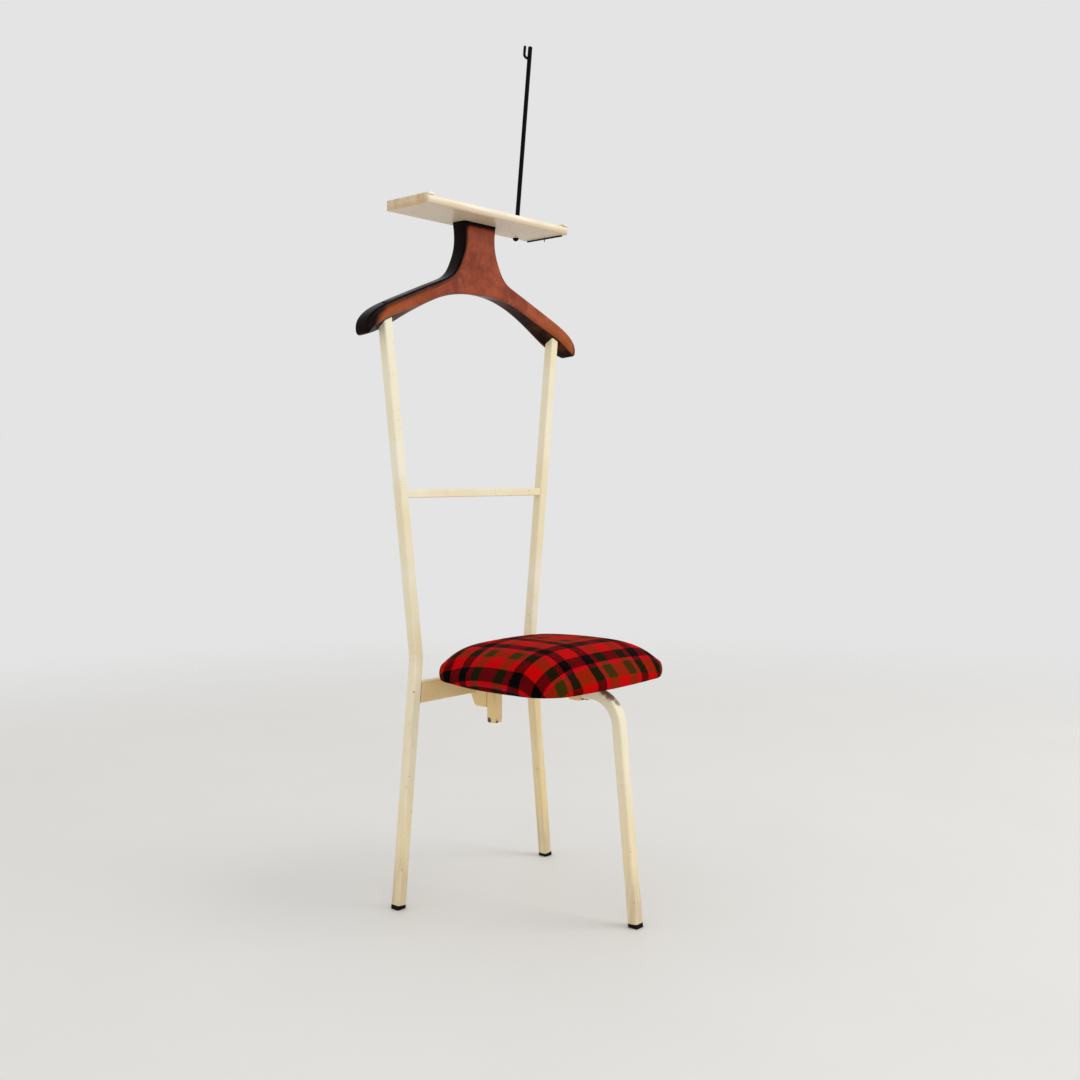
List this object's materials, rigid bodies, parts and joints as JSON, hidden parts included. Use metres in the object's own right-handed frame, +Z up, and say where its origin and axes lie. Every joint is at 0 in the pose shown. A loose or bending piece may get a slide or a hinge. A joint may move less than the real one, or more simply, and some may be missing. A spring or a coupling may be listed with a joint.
{
  "type": "clothes valet chair",
  "caption": "Valet chair: a square-tube frame on feet with a padded tartan seat, a wooden jacket hanger, a trouser bar, a small tray and a hook rod that slides and turns.",
  "frame": {"origin": "on the floor under the middle of the object's box", "axes": "+Z up, the seat's front faces -Y, the hook rod stands towards +X"},
  "size_m": [0.517, 0.3863, 1.5027],
  "materials": {
    "cream_enamel": "worn cream gloss enamel with scuffs, chips and small rust marks",
    "stained_enamel": "cream enamel gone tan, with a rust spot",
    "black_cap": "satin black",
    "hanger_wood": "glossy mahogany sunburst with black edges",
    "tray_lacquer": "glossy cream lacquer",
    "bare_steel": "dull",
    "black_enamel": "black gloss enamel",
    "seat_board_wood": "bare plywood",
    "tartan_cloth": "red tartan woven cloth with black, olive and mauve stripes"
  },
  "bodies": {
    "chair": {"left_upright": "cream_enamel", "right_upright": "cream_enamel", "crossbar": "cream_enamel", "rear_seat_rail": "cream_enamel", "centre_beam": "cream_enamel", "rail_bracket": "stained_enamel", "stub_tube": "stained_enamel", "stub_plug": "stained_enamel", "leg_saddle": "stained_enamel", "leg_spigot": "bare_steel", "front_leg": "cream_enamel", "leg_screw": "bare_steel", "left_rear_foot": "black_cap", "right_rear_foot": "black_cap", "front_foot": "black_cap", "post_plugs": "bare_steel", "hanger": "hanger_wood", "hanger_screws": "bare_steel", "tray_board": "tray_lacquer", "tray_left_lip": "tray_lacquer", "tray_right_lip": "tray_lacquer", "tray_screws": "bare_steel", "wire_bar": "black_enamel", "wire_peg": "bare_steel", "seat_bearers": "bare_steel", "seat_board": "seat_board_wood", "seat_screws": "bare_steel", "seat_cushion": "tartan_cloth"},
    "swivel": {"rod_bush": "bare_steel"},
    "rod": {"hook_rod": "black_enamel", "hook_prong": "black_enamel", "rod_stop": "black_enamel"}
  },
  "joints": [
    {"name": "hook_rod_swivel", "type": "hinge", "parent": "chair", "child": "swivel", "pos_m": [0.1364, 0.18472, 1.14692], "axis": [0.1167, 0, 0.9932], "continuous": true},
    {"name": "hook_rod_slide", "type": "slide", "parent": "swivel", "child": "rod", "axis": [0.1167, 0, 0.9932], "range_m": [-0.31, 0]}
  ]
}
